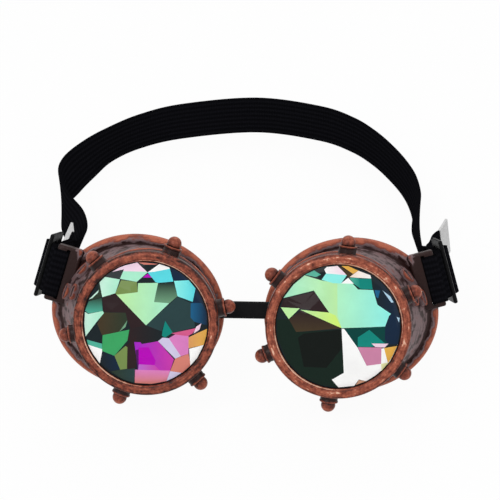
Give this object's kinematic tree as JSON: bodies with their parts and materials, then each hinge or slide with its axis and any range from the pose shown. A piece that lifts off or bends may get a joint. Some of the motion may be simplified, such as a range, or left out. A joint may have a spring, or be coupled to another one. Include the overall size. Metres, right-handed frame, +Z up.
{
  "type": "costume goggles",
  "caption": "Round screw-front costume goggles with studded rings, faceted lenses, a nose strip and an elastic headband held by three-bar slides.",
  "frame": {"origin": "middle of the bounding box in X and Y, on the table under the goggles", "axes": "+Z up, -Y towards the front, where the lenses look out and up, +X to the right as seen from the front"},
  "size_m": [0.18, 0.2044, 0.0718],
  "materials": {
    "copper": "satin antique copper over dark brown plastic, rubbed bright on raised edges",
    "dark_copper": "satin antique copper, purplish grey in the recesses",
    "crystal": "polished facets with a rainbow coating",
    "rubber": "matt black",
    "elastic": "black woven elastic with a faint sheen",
    "slide_plastic": "satin black",
    "tip_plastic": "light grey, slightly glossy"
  },
  "bodies": {
    "goggles_body": {"left_eyecup": "dark_copper", "right_eyecup": "dark_copper", "nose_bridge": "rubber", "headband": "elastic", "left_strap_end": "elastic", "right_strap_end": "elastic", "left_strap_tip": "tip_plastic", "right_strap_tip": "tip_plastic"},
    "left_lens_unit": {"left_lens": "crystal", "left_lens_gasket": "rubber"},
    "left_ring_unit": {"left_lens_ring": "copper", "left_stud_1": "copper", "left_stud_2": "copper", "left_stud_3": "copper", "left_stud_4": "copper", "left_stud_5": "copper", "left_stud_6": "copper"},
    "left_slide_unit": {"left_slide": "slide_plastic"},
    "right_lens_unit": {"right_lens": "crystal", "right_lens_gasket": "rubber"},
    "right_ring_unit": {"right_lens_ring": "copper", "right_stud_1": "copper", "right_stud_2": "copper", "right_stud_3": "copper", "right_stud_4": "copper", "right_stud_5": "copper", "right_stud_6": "copper"},
    "right_slide_unit": {"right_slide": "slide_plastic"}
  },
  "joints": [
    {"name": "left_lens_advance", "type": "slide", "parent": "goggles_body", "child": "left_lens_unit", "axis": [0, -0.848, 0.5299], "range_m": [0, 0.0038]},
    {"name": "left_ring_turn", "type": "hinge", "parent": "left_lens_unit", "child": "left_ring_unit", "pos_m": [-0.039, -0.08735, 0.04456], "axis": [0, -0.848, 0.5299], "range_deg": [0, 450]},
    {"name": "left_slide_adjust", "type": "slide", "parent": "goggles_body", "child": "left_slide_unit", "axis": [0.1587, 0.8123, -0.5612], "range_m": [0, 0.006], "deforming": ["left_strap_end"]},
    {"name": "right_lens_advance", "type": "slide", "parent": "goggles_body", "child": "right_lens_unit", "axis": [0, -0.848, 0.5299], "range_m": [0, 0.0038]},
    {"name": "right_ring_turn", "type": "hinge", "parent": "right_lens_unit", "child": "right_ring_unit", "pos_m": [0.039, -0.08735, 0.04456], "axis": [0, -0.848, 0.5299], "range_deg": [0, 450]},
    {"name": "right_slide_adjust", "type": "slide", "parent": "goggles_body", "child": "right_slide_unit", "axis": [-0.1587, 0.8123, -0.5612], "range_m": [0, 0.006], "deforming": ["right_strap_end"]}
  ],
  "couplings": [
    {"joint": "left_lens_advance", "follows": "left_ring_turn", "m_per_rad": 0.00047746},
    {"joint": "right_lens_advance", "follows": "right_ring_turn", "m_per_rad": 0.00047746}
  ]
}
